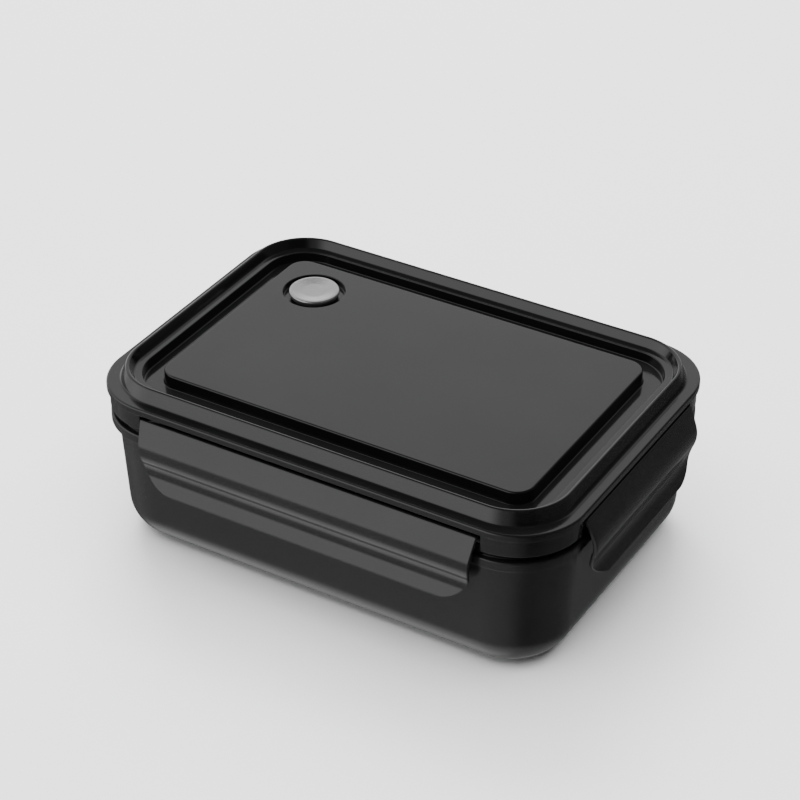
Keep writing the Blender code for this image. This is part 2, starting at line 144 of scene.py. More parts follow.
# Studio: rings of brightness, one above the other. Each ring fades in between two heights of the
# direction's Z. Its stops go round the compass, from -X by way of -Y, +X and +Y.
STUDIO_STRENGTH = 2.0
STUDIO_RINGS = (
    (None, (
        (0.0, 0.6), (0.15, 0.6), (0.5, 0.25), (0.85, 0.2), (1.0, 0.6))),
    ((-0.88, -0.72), (
        (0.0, 0.2), (0.16, 0.25), (0.28, 0.22), (0.4, 0.035), (0.5, 0.07), (0.68, 0.09), (0.84, 0.14),
        (0.92, 0.07), (1.0, 0.14))),
    ((-0.4, -0.2), (
        (0.0, 0.5), (0.1, 1.0), (0.2, 1.0), (0.28, 0.25), (0.345, 0.0), (0.4, 0.0), (0.47, 0.04),
        (0.67, 0.06), (0.76, 0.4), (0.84, 0.85), (0.9, 0.85), (1.0, 0.5))),
    ((0.2, 0.45), (
        (0.0, 0.4), (0.1, 0.8), (0.2, 0.8), (0.28, 0.2), (0.345, 0.0), (0.4, 0.0), (0.65, 0.04),
        (0.76, 0.44), (0.84, 0.56), (0.9, 0.56), (1.0, 0.4))),
    ((0.66, 0.88), (
        (0.0, 0.02), (1.0, 0.02))),
)

# Camera, in metres and degrees
CAMERA_PLACE = (0.42469, -0.71543, 0.61266)
CAMERA_AZIMUTH = 30.79
CAMERA_ELEVATION = 33.69
CAMERA_LENS = 112.365

CORNER_STEPS = 30
ROUND_STEPS = 96
FILLET_STEP = math.radians(11)

SIDES = (
    ("front", 0.0, LENGTH / 2, WIDTH / 2),
    ("right", 90.0, WIDTH / 2, LENGTH / 2),
    ("back", 180.0, LENGTH / 2, WIDTH / 2),
    ("left", 270.0, WIDTH / 2, LENGTH / 2),
)


# Mesh tools

def finished(name, builder, smooth_angle=38.0):
    """Turn a bmesh in millimetres into a smooth-shaded object in metres."""
    bmesh.ops.recalc_face_normals(builder, faces=builder.faces)
    bmesh.ops.scale(builder, vec=(MM, MM, MM), verts=builder.verts)
    mesh = bpy.data.meshes.new(name)
    builder.to_mesh(mesh)
    builder.free()
    piece = bpy.data.objects.new(name, mesh)
    bpy.context.scene.collection.objects.link(piece)
    shade(piece, smooth_angle)
    return piece


def shade(piece, smooth_angle):
    piece.data.shade_smooth()
    piece.data.set_sharp_from_angle(angle=math.radians(smooth_angle))


def even_normals(piece):
    """Let the large flat faces set the normals, so fillets blend without shading the flats."""
    weighted = piece.modifiers.new("even_normals", "WEIGHTED_NORMAL")
    weighted.keep_sharp = True
    weighted.weight = 60


def combine(target, tool, operation, smooth_angle=38.0):
    """Cut or join with the tool object, then drop the tool."""
    modifier = target.modifiers.new("combine", "BOOLEAN")
    modifier.operation = operation
    modifier.object = tool
    modifier.solver = "EXACT"
    depsgraph = bpy.context.evaluated_depsgraph_get()
    result = bpy.data.meshes.new_from_object(target.evaluated_get(depsgraph))
    target.modifiers.clear()
    target.data = result
    bpy.data.objects.remove(tool, do_unlink=True)
    shade(target, smooth_angle)


def rounded(corners, closed=False):
    """A polyline with its corners rounded: each corner is (across, up, radius)."""
    points = []
    for index, (across, up, radius) in enumerate(corners):
        corner = Vector((across, up))
        is_end = not closed and index in (0, len(corners) - 1)
        if is_end or radius == 0:
            points.append(corner)
            continue
        back = (Vector(corners[index - 1][:2]) - corner).normalized()
        onward = (Vector(corners[(index + 1) % len(corners)][:2]) - corner).normalized()
        turn = math.pi - back.angle(onward)
        reach = radius * math.tan(turn / 2)
        centre = corner + (back + onward).normalized() * radius / math.cos(turn / 2)
        first = corner + back * reach - centre
        last = corner + onward * reach - centre
        steps = max(2, math.ceil(turn / FILLET_STEP))
        sweep = math.copysign(turn, first.cross(last))
        for step in range(steps + 1):
            points.append(centre + Matrix.Rotation(sweep * step / steps, 2) @ first)
    return points


def corner_radius(inset):
    """The lid's corner radius at an inset: it tightens towards the middle panel."""
    known = (
        (0.0, EDGE_RADIUS), (SKIRT_INSET, EDGE_RADIUS), (7.3, 22.8), (13.0, 18.0), (22.9, 7.0), (30.0, 5.0))
    for (inset_a, radius_a), (inset_b, radius_b) in zip(known, known[1:]):
        if inset <= inset_b:
            share = max((inset - inset_a) / (inset_b - inset_a), 0.0)
            return radius_a + share * (radius_b - radius_a)
    return known[-1][1]


def base_radius(inset):
    """The box's corner radius at an inset: its wall is one even thickness."""
    return EDGE_RADIUS - max(inset - BASE_INSET, 0.0)


def outline(inset, level, radius):
    """One rounded rectangle, counter-clockwise seen from above."""
    points = []
    for quarter, (side_x, side_y) in enumerate(((1, 1), (-1, 1), (-1, -1), (1, -1))):
        centre_x = side_x * (LENGTH / 2 - inset - radius)
        centre_y = side_y * (WIDTH / 2 - inset - radius)
        for step in range(CORNER_STEPS + 1):
            angle = math.radians(90 * (quarter + step / CORNER_STEPS))
            points.append((centre_x + radius * math.cos(angle), centre_y + radius * math.sin(angle), level))
    return points


def circle(radius, level, centre=(0.0, 0.0), steps=ROUND_STEPS):
    points = []
    for step in range(steps):
        angle = math.tau * step / steps
        points.append((centre[0] + radius * math.cos(angle), centre[1] + radius * math.sin(angle), level))
    return points


def bridge(builder, loops, ring=False):
    """Join loops of equally many points with quads."""
    pairs = list(zip(loops, loops[1:]))
    if ring:
        pairs.append((loops[-1], loops[0]))
    for lower, upper in pairs:
        for index, vertex in enumerate(lower):
            following = (index + 1) % len(lower)
            builder.faces.new((vertex, lower[following], upper[following], upper[index]))


def sweep_into(builder, profile, radius_at, ring=False):
    """Carry a profile of (inset, level) points round the box, and return its loops."""
    loops = []
    for inset, level in profile:
        loops.append([builder.verts.new(point) for point in outline(inset, level, radius_at(inset))])
    bridge(builder, loops, ring)
    return loops


def turn_into(builder, profile, centre=(0.0, 0.0)):
    """Turn a profile of (radius, level) points about a vertical axis, and return its loops."""
    loops = []
    for radius, level in profile:
        loops.append([builder.verts.new(point) for point in circle(radius, level, centre)])
    bridge(builder, loops)
    return loops


def fill_between(builder, loop_a, loop_b):
    """Fill a flat region between an outer loop and a hole."""
    edges = []
    for loop in (loop_a, loop_b):
        for index, vertex in enumerate(loop):
            pair = (vertex, loop[(index + 1) % len(loop)])
            edges.append(builder.edges.get(pair) or builder.edges.new(pair))
    bmesh.ops.triangle_fill(builder, use_beauty=True, use_dissolve=False, edges=edges)


def box_into(builder, low, high, turn=0.0):
    """Add a box between two corners, turned about Z."""
    low = Vector(low)
    high = Vector(high)
    size = high - low
    shift = Matrix.Translation((low + high) / 2)
    place = Matrix.Rotation(turn, 4, "Z") @ shift @ Matrix.Diagonal((*size, 1.0))
    bmesh.ops.create_cube(builder, size=1.0, matrix=place)


def tube_into(builder, outer, inner, start_x, end_x, y=0.0, z=0.0, turn=0.0, steps=40):
    """Add an open tube along X, turned about Z."""
    place = Matrix.Rotation(turn, 4, "Z")
    rings = []
    for radius, ring_x in ((outer, start_x), (outer, end_x), (inner, end_x), (inner, start_x)):
        ring = []
        for step in range(steps):
            angle = math.tau * step / steps
            ring.append(builder.verts.new(place @ Vector((ring_x, y + radius * math.cos(angle),
                                                          z + radius * math.sin(angle)))))
        rings.append(ring)
    bridge(builder, rings, ring=True)


def foot_arc(centre_inset, centre_level, radius, steps=14):
    """The rounded foot between a drafted wall and a flat floor, from the floor up."""
    points = []
    for step in range(steps + 1):
        angle = math.pi / 2 + (BASE_DRAFT - math.pi / 2) * step / steps
        points.append((centre_inset - radius * math.cos(angle), centre_level - radius * math.sin(angle)))
    return points


# Outer box and liner

def make_base_shell():
    rim_bottom = LID_LEVEL - RIM_BOTTOM
    rim_top = LID_LEVEL - RIM_TOP
    upstand_top = LID_LEVEL - UPSTAND_TOP
    tangent_level = BASE_FOOT_RADIUS * (1 - math.sin(BASE_DRAFT))
    drop = rim_bottom - tangent_level
    centre_inset = BASE_INSET + drop * math.tan(BASE_DRAFT) + BASE_FOOT_RADIUS * math.cos(BASE_DRAFT)
    outer = foot_arc(centre_inset, BASE_FOOT_RADIUS, BASE_FOOT_RADIUS)
    inner = foot_arc(centre_inset, BASE_FOOT_RADIUS, BASE_FOOT_RADIUS - BASE_WALL)
    wall_foot = outer[-1]
    inner_foot = inner[-1]
    top = rounded([
        (*wall_foot, 0),
        (BASE_INSET, rim_bottom, 0.5),
        (RIM_INSET, rim_bottom + 0.05, 0.45),
        (RIM_INSET, rim_top, 0.6),
        (UPSTAND_INSET, rim_top, 0.3),
        (UPSTAND_INSET, upstand_top, 0.4),
        (UPSTAND_INSET + UPSTAND_WALL, upstand_top, 0.4),
        (BASE_INSET + BASE_WALL, rim_bottom, 1.0),
        (*inner_foot, 0),
    ])
    builder = bmesh.new()
    loops = sweep_into(builder, outer[:-1] + top + inner[-2::-1], base_radius)
    builder.faces.new(loops[0])
    builder.faces.new(loops[-1])
    piece = finished("outer_box", builder)
    even_normals(piece)
    return piece


def make_steel_liner():
    rim_level = LID_LEVEL - UPSTAND_TOP + SEAT_GAP
    tangent_level = LINER_FLOOR_LEVEL + LINER_FOOT_RADIUS * (1 - math.sin(BASE_DRAFT))
    wall_inset = LINER_INSET + (rim_level - tangent_level) * math.tan(BASE_DRAFT)
    centre_inset = wall_inset + LINER_FOOT_RADIUS * math.cos(BASE_DRAFT)
    centre_level = LINER_FLOOR_LEVEL + LINER_FOOT_RADIUS
    outer = foot_arc(centre_inset, centre_level, LINER_FOOT_RADIUS)
    inner = foot_arc(centre_inset, centre_level, LINER_FOOT_RADIUS - LINER_WALL)
    rim = rounded([
        (*outer[-1], 0),
        (LINER_INSET, rim_level, 0.9),
        (LINER_RIM_INSET, rim_level, 0.25),
        (LINER_RIM_INSET, rim_level + LINER_WALL, 0.3),
        (LINER_INSET + LINER_WALL, rim_level + LINER_WALL, 1.6),
        (*inner[-1], 0),
    ])
    builder = bmesh.new()
    loops = sweep_into(builder, outer[:-1] + rim + inner[-2::-1], base_radius)
    builder.faces.new(loops[0])
    builder.faces.new(loops[-1])
    piece = finished("liner_bowl", builder)
    even_normals(piece)
    return piece


# Lid

def lid_section():
    """The lid's section: underneath from the panel out to the skirt, then over the top back to the panel."""
    top = LID_LEVEL
    panel = top + PANEL_HEIGHT
    gutter = top - GUTTER_DEPTH
    underside = top - FLANGE_THICKNESS
    groove_inner = GROOVE_INSET + GROOVE_WALL
    locating_inner = LOCATING_INSET + LOCATING_WALL
    return rounded([
        (27.0, panel - LID_WALL, 0),
        (24.6, panel - LID_WALL, 0.8),
        (24.6, gutter - LID_WALL, 0.8),
        (locating_inner, gutter - LID_WALL, 0.8),
        (locating_inner, top - LOCATING_DEPTH, 0.5),
        (LOCATING_INSET, top - LOCATING_DEPTH, 0.6),
        (LOCATING_INSET, top - 0.6, 0.5),
        (7.7, top + 3.3, 0.5),
        (6.4, top - 0.4, 0.5),
        (groove_inner, top - 2.0, 0.3),
        (groove_inner, top - GROOVE_DEPTH, 0.25),
        (GROOVE_INSET, top - GROOVE_DEPTH, 0.25),
        (GROOVE_INSET, underside, 0.3),
        (SKIRT_INSET + SKIRT_WALL, underside, 0.3),
        (SKIRT_INSET + SKIRT_WALL, top - SKIRT_DEPTH, 0.4),
        (SKIRT_INSET, top - SKIRT_DEPTH, 0.4),
        (SKIRT_INSET, underside, 0.12),
        (0.0, underside, 0.35),
        (0.0, top, 0.75),
        (4.9, top, 1.0),
        (7.0, top + RIDGE_HEIGHT, 0.85),
        (8.25, top + RIDGE_HEIGHT - 0.05, 0.85),
        (9.95, top + LEDGE_HEIGHT + 0.1, 0.9),
        (13.0, top + LEDGE_HEIGHT - 0.1, 0.45),
        (13.35, gutter, 0.7),
        (21.9, gutter, 0.5),
        (22.2, panel, 0.85),
        (25.4, panel, 0),
    ])


def vent_section():
    """The vent's recess, stem hole and boss as (radius, level) points, from the panel down and out."""
    panel = LID_LEVEL + PANEL_HEIGHT
    floor = panel - RECESS_DEPTH
    low = floor - BOSS_WALL
    return rounded([
        (RECESS_RADIUS + 1.2, panel, 0),
        (RECESS_RADIUS, panel, 0.4),
        (RECESS_RADIUS, floor, 0.5),
        (STEM_HOLE_RADIUS, floor, 0.3),
        (STEM_HOLE_RADIUS, low, 0.2),
        (BOSS_RADIUS, low, 0.5),
        (BOSS_RADIUS, panel - LID_WALL, 0),
    ])


def flap_half_length(half_side):
    return half_side - FLAP_END_MARGIN


def lug_places(half_length):
    """Where the lid's lugs stand along a flap: even pitch, centred."""
    span = 2 * (half_length - LUG_END_ROOM)
    count = max(2, round(span / LUG_PITCH))
    return [-span / 2 + span * index / (count - 1) for index in range(count)]


def make_lid():
    builder = bmesh.new()
    loops = sweep_into(builder, lid_section(), corner_radius)
    vent = turn_into(builder, vent_section(), (VENT_X, VENT_Y))
    fill_between(builder, loops[-1], vent[0])
    fill_between(builder, loops[0], vent[-1])
    lid = finished("lid_moulding", builder)

    notches = bmesh.new()
    low = LID_LEVEL - SKIRT_DEPTH - 1.0
    high = LID_LEVEL - FLANGE_THICKNESS - 0.1
    for _, turn, half_side, distance in SIDES:
        reach = flap_half_length(half_side) + NOTCH_CLEARANCE
        box_into(notches, (-reach, -(distance - 0.3), low), (reach, -(distance - GROOVE_INSET + 0.8), high),
                 math.radians(turn))
    combine(lid, finished("notches", notches), "DIFFERENCE")

    lugs = bmesh.new()
    for _, turn, half_side, distance in SIDES:
        for place in lug_places(flap_half_length(half_side)):
            tube_into(lugs, LUG_RADIUS, BORE_RADIUS, place - LUG_WIDTH / 2, place + LUG_WIDTH / 2,
                      -(distance + HINGE_OUT), HINGE_LEVEL, math.radians(turn))
    combine(lid, finished("lugs", lugs), "UNION")

    arms = bmesh.new()
    half_arm = LUG_WIDTH / 2 - ARM_INSET
    for _, turn, half_side, distance in SIDES:
        for place in lug_places(flap_half_length(half_side)):
            box_into(arms, (place - half_arm, -(distance + HINGE_OUT - 1.0), HINGE_LEVEL - 0.95),
                     (place + half_arm, -(distance - GROOVE_INSET - 0.5), HINGE_LEVEL + 0.6),
                     math.radians(turn))
    combine(lid, finished("arms", arms), "UNION")
    even_normals(lid)
    return lid


def make_gasket():
    """Soft ring in the lid's groove, with a lip that presses on the liner's rim."""
    foot = LID_LEVEL - UPSTAND_TOP + SEAT_GAP + LINER_WALL + SEAT_GAP
    roof = LID_LEVEL - 2.3
    inner = LOCATING_INSET - 0.35
    outer = GROOVE_INSET + GROOVE_WALL + 0.35
    section = rounded([
        (outer + 0.1, foot, 0.3),
        (outer, roof, 0.6),
        (inner, roof, 0.6),
        (inner, foot + 1.8, 0.4),
        (inner - 0.8, foot, 0.3),
    ], closed=True)
    builder = bmesh.new()
    sweep_into(builder, section, corner_radius, ring=True)
    piece = finished("seal_ring", builder)
    even_normals(piece)
    return piece


def make_vent_plug():
    """Round plug with a dished top, a stem through the lid and a barb that keeps it there."""
    floor = PANEL_HEIGHT - RECESS_DEPTH
    edge = PANEL_HEIGHT + PLUG_RISE
    barb_top = floor - BOSS_WALL - PLUG_TRAVEL - 0.5
    section = rounded([
        (0.3, edge - 0.85, 0),
        (5.0, edge - 0.75, 9.0),
        (9.2, edge - 0.02, 0.4),
        (PLUG_RADIUS, edge - 0.15, 0.7),
        (PLUG_RADIUS - 0.15, edge - 1.3, 0.4),
        (PLUG_RADIUS - 1.0, floor + 0.35, 0.5),
        (STEM_RADIUS, floor + 0.35, 0.3),
        (STEM_RADIUS, barb_top, 0.2),
        (BARB_RADIUS, barb_top, 0.2),
        (BARB_RADIUS, barb_top - 0.5, 0.3),
        (STEM_RADIUS - 0.8, barb_top - 1.6, 0.3),
        (0.3, barb_top - 1.6, 0),
    ])
    builder = bmesh.new()
    loops = turn_into(builder, section)
    builder.faces.new(loops[0])
    builder.faces.new(loops[-1])
    plug = finished("plug_moulding", builder)
    plug.location = (VENT_X * MM, VENT_Y * MM, LID_LEVEL * MM)
    even_normals(plug)
    return plug


# Flaps. Each is drawn facing the front, where out is -Y, about its hinge axis along X.

def flap_curve():
    """The flap's outer face as (out, depth) points: sloped top, bulge, valley and lip."""
    bulge_radius = 11.5
    valley_radius = 8.6
    return rounded([
        (FLAP_TOP_OUT, FLAP_TOP, 0),
        (5.24, 16.12, bulge_radius),
        (1.57, 26.61, valley_radius),
        (4.48, FLAP_BOTTOM, 0),
    ])


def flap_out(curve, depth):
    """How far out the flap's outer face is at a depth."""
    for low, high in zip(curve, curve[1:]):
        if depth <= high.y:
            share = (depth - low.y) / (high.y - low.y)
            return low.x + share * (high.x - low.x)
    return curve[-1].x


def groove_at(depth):
    """The fine groove across the flap, under its bulge."""
    return FINE_GROOVE_CUT * max(0.0, 1.0 - abs(depth - FINE_GROOVE_DEPTH) / FINE_GROOVE_HALF)


def flap_thickness(depth):
    known = ((FLAP_TOP, FLAP_WALL), (17.0, 1.95), (26.6, 1.6), (FLAP_BOTTOM, 1.1))
    for (depth_a, wall_a), (depth_b, wall_b) in zip(known, known[1:]):
        if depth <= depth_b:
            return wall_a + (wall_b - wall_a) * (depth - depth_a) / (depth_b - depth_a)
    return known[-1][1]


def flap_end(depth):
    """How far a flap's end has drawn in at a depth: a slight draft, then a rounded lower corner."""
    draft = FLAP_END_DRAFT * (depth - FLAP_TOP)
    drop = min(max(depth - FLAP_CORNER_START, 0.0) / FLAP_CORNER_DOWN, 1.0)
    return draft + FLAP_CORNER_ACROSS * (1 - math.sqrt(1 - drop * drop))


def edge_shrink(distance, radius):
    """How far a rounded edge draws in at a distance from the edge's tip."""
    left = max(radius - distance, 0.0)
    return radius - math.sqrt(radius * radius - left * left)


def flap_depths():
    """Where the flap's rows lie: close together at its edges, its groove and its lower corners."""
    depths = [FLAP_TOP + share * FLAP_EDGE for share in (0.0, 0.08, 0.3, 0.62, 1.0)]
    depths += [5.0 + 0.75 * index for index in range(21)]
    depths += [21.2, 21.48, 21.65, 21.8, 21.9, 22.0, 22.15, 22.32, 22.6, 23.3]
    corner_steps = 26
    corner_rows = FLAP_BOTTOM - FLAP_EDGE - FLAP_CORNER_START
    for step in range(corner_steps + 1):
        depths.append(FLAP_CORNER_START + corner_rows * math.sin(math.pi / 2 * step / corner_steps))
    depths += [FLAP_BOTTOM - share * FLAP_EDGE for share in (0.62, 0.3, 0.08, 0.0)]
    return depths


def flap_row(curve, depth, half_length):
    """One loop round the flap at a depth: along the outer face, round one end and back along the inner."""
    lean = (flap_out(curve, depth + 0.3) - flap_out(curve, depth - 0.3)) / 0.6
    inward = Vector((-1.0, lean)).normalized()
    tip = min(depth - FLAP_TOP, FLAP_BOTTOM - depth)
    tip_shrink = edge_shrink(max(tip, 0.0), FLAP_EDGE)
    wall = flap_thickness(depth)
    face = Vector((flap_out(curve, depth), depth)) + inward * groove_at(depth)
    reach = half_length - flap_end(depth) - tip_shrink
    end_steps = 5
    side = []
    for step in range(end_steps + 1):
        angle = math.pi / 2 * step / end_steps
        side.append((reach - FLAP_EDGE * (1 - math.sin(angle)), FLAP_EDGE * (1 - math.cos(angle))))
    outer = [(x, tip_shrink + min(draw, wall / 2 - tip_shrink)) for x, draw in side]
    ring = outer + [(x, wall - draw) for x, draw in reversed(outer)]
    ring += [(-x, through) for x, through in reversed(ring)]
    points = []
    for x, through in ring:
        place = face + inward * through
        points.append((x, -(place.x - HINGE_OUT), LID_LEVEL - place.y - HINGE_LEVEL))
    return points


def snap_rib_into(builder, half_length):
    """The rib inside the flap that snaps under the outer box's rim band."""
    section = rounded([(3.2, 17.4, 0), (-0.45, 18.3, 0.3), (-0.45, 19.6, 0.5), (1.6, 22.6, 0)])
    reach = half_length - RIB_INSET
    loops = []
    for end in (-reach, reach):
        loops.append([builder.verts.new((end, -(out - HINGE_OUT), LID_LEVEL - depth - HINGE_LEVEL))
                      for out, depth in section])
    bridge(builder, loops)
    builder.faces.new(loops[0])
    builder.faces.new(loops[1])


def barrel_runs(half_length):
    """The stretches of hinge barrel between the lid's lugs."""
    edges = [-(half_length - BARREL_INSET)]
    for place in lug_places(half_length):
        edges.append(place - LUG_WIDTH / 2 - LUG_CLEARANCE)
        edges.append(place + LUG_WIDTH / 2 + LUG_CLEARANCE)
    edges.append(half_length - BARREL_INSET)
    return list(zip(edges[::2], edges[1::2]))


def make_flap(side, turn, half_side, distance):
    half_length = flap_half_length(half_side)
    curve = flap_curve()
    builder = bmesh.new()
    loops = []
    for depth in flap_depths():
        loops.append([builder.verts.new(point) for point in flap_row(curve, depth, half_length)])
    bridge(builder, loops)
    builder.faces.new(loops[0])
    builder.faces.new(loops[-1])
    flap = finished(f"clip_{side}", builder)

    pockets = bmesh.new()
    half_pocket = LUG_WIDTH / 2 + LUG_CLEARANCE
    for place in lug_places(half_length):
        box_into(pockets, (place - half_pocket, -(HINGE_SETBACK - POCKET_WALL), -2.2),
                 (place + half_pocket, 3.0, HINGE_DROP + 2.0))
    bmesh.ops.transform(pockets, matrix=Matrix.Rotation(-FLAP_SLOPE, 4, "X"), verts=pockets.verts)
    combine(flap, finished("pockets", pockets), "DIFFERENCE")

    barrels = bmesh.new()
    for start, end in barrel_runs(half_length):
        tube_into(barrels, BARREL_RADIUS, BORE_RADIUS, start, end)
    combine(flap, finished("barrels", barrels), "UNION")

    rib = bmesh.new()
    snap_rib_into(rib, half_length)
    combine(flap, finished("rib", rib), "UNION")
    even_normals(flap)
    place_on_side(flap, turn, distance)
    return flap


def place_on_side(piece, turn, distance):
    """Put a piece drawn about a hinge axis on one side of the lid."""
    angle = math.radians(turn)
    out = distance + HINGE_OUT
    piece.rotation_euler = (0.0, 0.0, angle)
    piece.location = (out * math.sin(angle) * MM, -out * math.cos(angle) * MM, HINGE_LEVEL * MM)


def make_hinge_rod(side, turn, half_side, distance):
    """A drawn wire with rounded ends."""
    reach = flap_half_length(half_side) - ROD_INSET
    section = rounded([
        (0.1, -reach, 0),
        (ROD_RADIUS, -reach, 0.25),
        (ROD_RADIUS, reach, 0.25),
        (0.1, reach, 0),
    ])
    builder = bmesh.new()
    loops = []
    for radius, along in section:
        loops.append([builder.verts.new((along, x, y)) for x, y, _ in circle(radius, 0.0, steps=32)])
    bridge(builder, loops)
    builder.faces.new(loops[0])
    builder.faces.new(loops[-1])
    rod = finished(f"wire_{side}", builder)
    even_normals(rod)
    place_on_side(rod, turn, distance)
    return rod


# Materials

class Finish:
    """A Principled material with object coordinates and a short way to add nodes."""

    def __init__(self, name, colour, roughness, metallic=0.0):
        self.material = bpy.data.materials.new(name)
        self.material.use_nodes = True
        self.material.diffuse_color = (*colour, 1.0)
        self.nodes = self.material.node_tree.nodes
        self.links = self.material.node_tree.links
        self.shader = self.nodes["Principled BSDF"]
        self.shader.inputs["Base Color"].default_value = (*colour, 1.0)
        self.shader.inputs["Roughness"].default_value = roughness
        self.shader.inputs["Metallic"].default_value = metallic
        self.place = self.nodes.new("ShaderNodeTexCoord").outputs["Object"]

    def stretched(self, scale):
        mapping = self.nodes.new("ShaderNodeMapping")
        mapping.inputs["Scale"].default_value = scale
        self.links.new(self.place, mapping.inputs["Vector"])
        return mapping.outputs["Vector"]

    def noise(self, size, detail=2.0, roughness=0.5, place=None):
        """Noise whose blobs are about size millimetres across."""
        node = self.nodes.new("ShaderNodeTexNoise")
        node.inputs["Scale"].default_value = 1.0 / (size * MM)
        node.inputs["Detail"].default_value = detail
        node.inputs["Roughness"].default_value = roughness
        self.links.new(place or self.place, node.inputs["Vector"])
        return node.outputs["Fac"]

    def remap(self, value, low, high, from_low=0.3, from_high=0.7):
        node = self.nodes.new("ShaderNodeMapRange")
        node.inputs["From Min"].default_value = from_low
        node.inputs["From Max"].default_value = from_high
        node.inputs["To Min"].default_value = low
        node.inputs["To Max"].default_value = high
        self.links.new(value, node.inputs["Value"])
        return node.outputs["Result"]

    def math(self, operation, first, second):
        node = self.nodes.new("ShaderNodeMath")
        node.operation = operation
        for socket, value in zip(node.inputs, (first, second)):
            if isinstance(value, float):
                socket.default_value = value
            else:
                self.links.new(value, socket)
        return node.outputs["Value"]

    def blend_colour(self, share, colour_a, colour_b):
        node = self.nodes.new("ShaderNodeMix")
        node.data_type = "RGBA"
        node.inputs["A"].default_value = (*colour_a, 1.0)
        node.inputs["B"].default_value = (*colour_b, 1.0)
        self.links.new(share, node.inputs["Factor"])
        self.links.new(node.outputs["Result"], self.shader.inputs["Base Color"])

    def bump(self, height, strength, distance, before=None):
        node = self.nodes.new("ShaderNodeBump")
        node.inputs["Strength"].default_value = strength
        node.inputs["Distance"].default_value = distance * MM
        self.links.new(height, node.inputs["Height"])
        if before is not None:
            self.links.new(before, node.inputs["Normal"])
        self.links.new(node.outputs["Normal"], self.shader.inputs["Normal"])
        return node.outputs["Normal"]

    def roughness(self, value):
        self.links.new(value, self.shader.inputs["Roughness"])


def moulded_plastic(name, colour, roughness, grain):
    """Black moulded plastic: fine spark grain, slight waves from shrinking, hand marks in the gloss."""
    finish = Finish(name, colour, roughness)
    lighter = tuple(channel * 1.35 for channel in colour)
    finish.blend_colour(finish.remap(finish.noise(28.0, 3.0), 0.0, 1.0), colour, lighter)
    marks = finish.remap(finish.noise(17.0, 4.0, 0.6), roughness - 0.03, roughness + 0.03)
    specks = finish.remap(finish.noise(0.9, 2.0), -0.012, 0.012)
    finish.roughness(finish.math("ADD", marks, specks))
    waves = finish.bump(finish.noise(34.0, 1.0), 0.25, 0.09)
    finish.bump(finish.noise(0.45, 2.0, 0.55), grain, 0.02, before=waves)
    return finish.material


def drawn_steel(name):
    """Stainless steel sheet, drawn and brushed along the box."""
    finish = Finish(name, (0.62, 0.62, 0.60), 0.26, metallic=1.0)
    along = finish.stretched((0.04, 1.0, 1.0))
    hairlines = finish.noise(0.35, 3.0, 0.6, place=along)
    stains = finish.remap(finish.noise(22.0, 3.0), 0.0, 1.0)
    finish.blend_colour(stains, (0.56, 0.56, 0.55), (0.66, 0.66, 0.64))
    finish.roughness(finish.remap(hairlines, 0.24, 0.34))
    waves = finish.bump(finish.noise(26.0, 1.0), 0.3, 0.08)
    finish.bump(hairlines, 0.1, 0.01, before=waves)
    finish.shader.inputs["Anisotropic"].default_value = 0.4
    return finish.material


def drawn_wire(name):
    """Bright wire with draw marks round it."""
    finish = Finish(name, (0.55, 0.55, 0.55), 0.3, metallic=1.0)
    marks = finish.noise(0.5, 2.0, place=finish.stretched((0.1, 1.0, 1.0)))
    finish.blend_colour(finish.remap(marks, 0.0, 1.0), (0.47, 0.47, 0.47), (0.6, 0.6, 0.6))
    finish.roughness(finish.remap(marks, 0.22, 0.38))
    finish.bump(marks, 0.15, 0.01)
    return finish.material


def silicone(name, colour, roughness, softness, sheen=0.0):
    """Moulded silicone rubber with a fine skin; softness makes it see-through, sheen makes it silvery."""
    finish = Finish(name, colour, roughness)
    lighter = tuple(min(channel * 1.12, 1.0) for channel in colour)
    finish.blend_colour(finish.remap(finish.noise(7.0, 3.0), 0.0, 1.0), colour, lighter)
    finish.roughness(finish.remap(finish.noise(3.0, 4.0), roughness - 0.05, roughness + 0.05))
    finish.bump(finish.noise(0.4, 2.0), 0.05, 0.02)
    finish.shader.inputs["Metallic"].default_value = sheen
    finish.shader.inputs["Subsurface Weight"].default_value = softness
    finish.shader.inputs["Subsurface Scale"].default_value = 1.5 * MM
    return finish.material


def backdrop(name):
    """Plain pale floor with a faint unevenness."""
    finish = Finish(name, (0.9, 0.9, 0.9), 0.75)
    patches = finish.remap(finish.noise(220.0, 2.0), 0.0, 1.0)
    finish.blend_colour(patches, (0.89, 0.89, 0.89), (0.91, 0.91, 0.91))
    return finish.material


# Putting it together

def dress(piece, material, body, slot, *nodes):
    """Give a piece its material and body, and let it stand for CAD nodes."""
    piece.data.materials.clear()
    piece.data.materials.append(material)
    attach(piece, body)
    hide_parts(*nodes)


